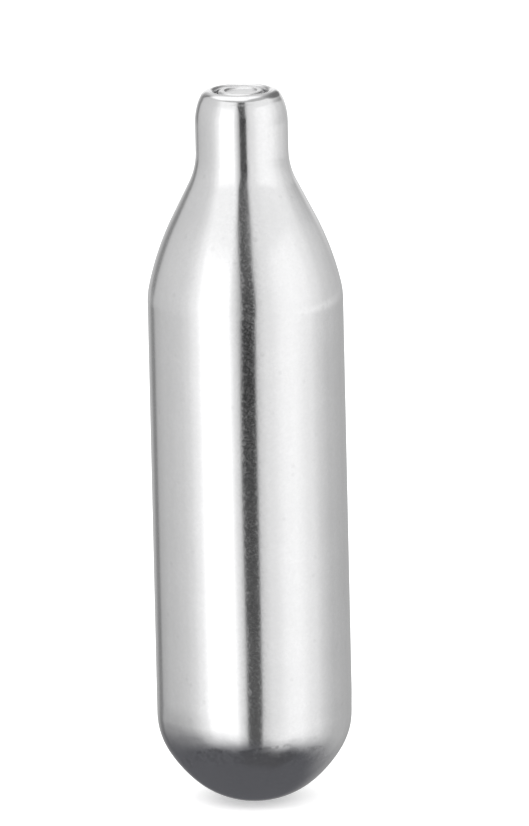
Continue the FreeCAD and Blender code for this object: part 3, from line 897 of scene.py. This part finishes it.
def with_ground(view, seen):
    """What is seen, with the dark ground below."""
    graph = view.graph
    ground = graph.blend(view.patch(SHADE_ROUND, SHADE_RISE), GROUND, SHADE)
    over = view.above(GROUND_EDGE, -90.0)
    over = graph.math("DIVIDE", over, view.by_azimuth(GROUND_SOFT, SOFTEST))
    return graph.blend(graph.ease(over, -1.0, 1.0), ground, seen)


def with_ceiling(view, seen):
    """What is seen, with the dimmer band and the ceiling over it."""
    graph = view.graph
    seen = graph.blend(view.patch(BAND_ROUND, BAND_RISE), seen, grey(BAND_LEVEL))
    ceiling = graph.ease(view.above(CEILING_EDGE), -CEILING_SOFT, CEILING_SOFT)
    return graph.blend(ceiling, seen, grey(CEILING_LEVEL))


def with_room(view, seen):
    """What is seen, with the dark of the room behind."""
    graph = view.graph
    foot = graph.ease(view.above(ROOM_FOOT), -ROOM_FOOT_SOFT, ROOM_FOOT_SOFT)
    head = graph.ease(view.above(ROOM_HEAD), -ROOM_HEAD_SOFT, ROOM_HEAD_SOFT, 1.0, 0.0)
    room = graph.times(view.by_azimuth(ROOM_ROUND), graph.times(foot, head))
    return graph.blend(room, seen, grey(ROOM_LEVEL))


def tent_cloth():
    made, graph = material("tent_cloth")
    made.cycles.emission_sampling = "NONE"
    view = Directions(graph)
    seen = wall_light(view)
    for layer in (with_gap, with_ground, with_ceiling, with_room):
        seen = layer(view, seen)
    glow = graph.add("ShaderNodeEmission", {"Color": seen, "Strength": 1.0})
    graph.add("ShaderNodeOutputMaterial", {"Surface": glow.outputs["Emission"]})
    return made


def make_tent():
    """Only glossy rays meet the tent, so it is seen in the metal and nowhere else."""
    mesh = bpy.data.meshes.new("tent")
    form = bmesh.new()
    around, upward = TENT_SEGMENTS
    bmesh.ops.create_uvsphere(form, u_segments=around, v_segments=upward, radius=TENT_RADIUS)
    form.to_mesh(mesh)
    form.free()
    mesh.materials.append(tent_cloth())
    tent = bpy.data.objects.new("tent", mesh)
    tent.location.z = LENGTH / 2
    for kind in ("camera", "diffuse", "transmission", "volume_scatter", "shadow"):
        setattr(tent, "visible_" + kind, False)
    bpy.context.scene.collection.objects.link(tent)


# The background is white where it is seen and a little dimmer as a light.
WORLD_LEVEL = 0.9
# The floor, a hair under the part: half its width, its paint, and the glow that brings it
# near white where it is seen.
FLOOR_HALF = 3.0
FLOOR_DROP = 5 * MICRON
FLOOR_PAINT = 0.93
FLOOR_GLOW = 0.35
# Soft lamps, each with a name, a place, watts and a width.
LAMPS = (
    ("key", (-0.35, -0.3, 0.6), 2.0, 0.4),
    ("fill", (0.4, -0.2, 0.5), 1.2, 0.4),
)


def in_sight(graph):
    """1 for what the camera sees, straight, mirrored or through glass."""
    ray = graph.add("ShaderNodeLightPath")
    direct = graph.math("MAXIMUM", ray.outputs["Is Camera Ray"], ray.outputs["Is Glossy Ray"])
    return graph.math("MAXIMUM", direct, ray.outputs["Is Transmission Ray"])


def make_world():
    """An even pale light from all round."""
    world = bpy.data.worlds.new("studio")
    bpy.context.scene.world = world
    world.use_nodes = True
    graph = Graph(world.node_tree)
    color = graph.blend(in_sight(graph), grey(WORLD_LEVEL), grey(1.0))
    background = graph.add("ShaderNodeBackground", {"Color": color, "Strength": 1.0})
    graph.add("ShaderNodeOutputWorld", {"Surface": background.outputs["Background"]})


def make_floor():
    """A pale floor that keeps the part's shadow and is clear from below."""
    half = FLOOR_HALF
    mesh = bpy.data.meshes.new("floor")
    corners = [(-half, -half, 0), (half, -half, 0), (half, half, 0), (-half, half, 0)]
    mesh.from_pydata(corners, [], [(0, 1, 2, 3)])
    floor = bpy.data.objects.new("floor", mesh)
    floor.location.z = -FLOOR_DROP
    bpy.context.scene.collection.objects.link(floor)
    made, graph = material("pale_floor")
    face = graph.add("ShaderNodeNewGeometry")
    paint = graph.add("ShaderNodeBsdfDiffuse", {"Color": grey(FLOOR_PAINT)})
    glow = graph.add("ShaderNodeEmission", {"Color": grey(1.0), "Strength": FLOOR_GLOW})
    lifted = graph.add("ShaderNodeAddShader", {0: paint.outputs[0], 1: glow.outputs[0]})
    clear = graph.add("ShaderNodeBsdfTransparent")
    shown = graph.either(in_sight(graph), paint.outputs[0], lifted.outputs[0])
    sides = graph.either(face.outputs["Backfacing"], shown, clear.outputs[0])
    graph.add("ShaderNodeOutputMaterial", {"Surface": sides})
    mesh.materials.append(made)
    floor.visible_glossy = False


def make_lamp(name, place, watts, width):
    """A square soft lamp aimed at the middle of the part, which the metal doesn't mirror."""
    data = bpy.data.lights.new(name, "AREA")
    data.energy = watts
    data.size = width
    lamp = bpy.data.objects.new(name, data)
    lamp.location = place
    aim = Vector((0.0, 0.0, LENGTH / 2)) - Vector(place)
    lamp.rotation_euler = aim.to_track_quat("-Z", "Y").to_euler()
    lamp.visible_glossy = False
    bpy.context.scene.collection.objects.link(lamp)


# The view. Pixels are those of a picture 529 wide and 826 high, counted from its upper left
# corner. The part's middle lies at PART_MIDDLE, and the scale there is PIXELS_PER_MM.
PICTURE_HEIGHT = 826
PICTURE_MIDDLE = (264.5, 413.0)
PART_MIDDLE = (248.7, 445.2)
PIXELS_PER_MM = 10.87
CAMERA_ELEVATION = 12.3
CAMERA_ROLL = -1.29
CAMERA_DISTANCE = 2.2
# The sensor's width is in millimetres, as Blender has it.
SENSOR = 36.0
CLIP_START = 0.01
CLIP_END = 100.0


def make_camera():
    """A long lens, framed so that the part's middle lies at its place in the picture."""
    data = bpy.data.cameras.new("camera")
    data.sensor_width = SENSOR
    data.lens = SENSOR * CAMERA_DISTANCE / (PICTURE_HEIGHT / PIXELS_PER_MM * MM)
    data.clip_start = CLIP_START
    data.clip_end = CLIP_END
    camera = bpy.data.objects.new("camera", data)
    back = Vector((0.0, -cosine(CAMERA_ELEVATION), sine(CAMERA_ELEVATION)))
    turn = back.to_track_quat("Z", "Y").to_matrix() @ Matrix.Rotation(
        math.radians(CAMERA_ROLL), 3, "Z")
    right, up = turn.col[0], turn.col[1]
    shift_right = (PICTURE_MIDDLE[0] - PART_MIDDLE[0]) / PIXELS_PER_MM * MM
    shift_up = (PART_MIDDLE[1] - PICTURE_MIDDLE[1]) / PIXELS_PER_MM * MM
    target = Vector((0.0, 0.0, LENGTH / 2)) + right * shift_right + up * shift_up
    camera.matrix_world = Matrix.Translation(target + back * CAMERA_DISTANCE) @ turn.to_4x4()
    bpy.context.scene.collection.objects.link(camera)
    bpy.context.scene.camera = camera


# ---------------------------------------------------------------- the part

def dress(piece, finish):
    """Gives a piece one material in place of what it had."""
    piece.data.materials.clear()
    piece.data.materials.append(finish)


def main():
    shell_steel = plated_steel("shell_steel", STEEL, dull=0.0, pitting=1.0)
    cap_steel = plated_steel("cap_steel", STEEL, dull=CAP_DULL, pitting=CAP_PITTING)

    shell = turned("shell_skin", shell_profile(), drawn_relief)
    dress(shell, shell_steel)
    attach(shell, "root")
    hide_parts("shell")

    cap = turned("sealing_cap_skin", cap_profile())
    dress(cap, cap_steel)
    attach(cap, "root")
    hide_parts("sealing_cap")

    for node, finish in (("gasket", black_rubber("gasket_rubber")),
                         ("gas_charge", clear_liquid("liquefied_gas"))):
        dress(frame["nodes"][node], finish)

    make_world()
    make_tent()
    make_floor()
    for name, place, watts, width in LAMPS:
        make_lamp(name, place, watts, width)
    make_camera()
    bpy.context.scene.view_settings.view_transform = "Standard"


main()
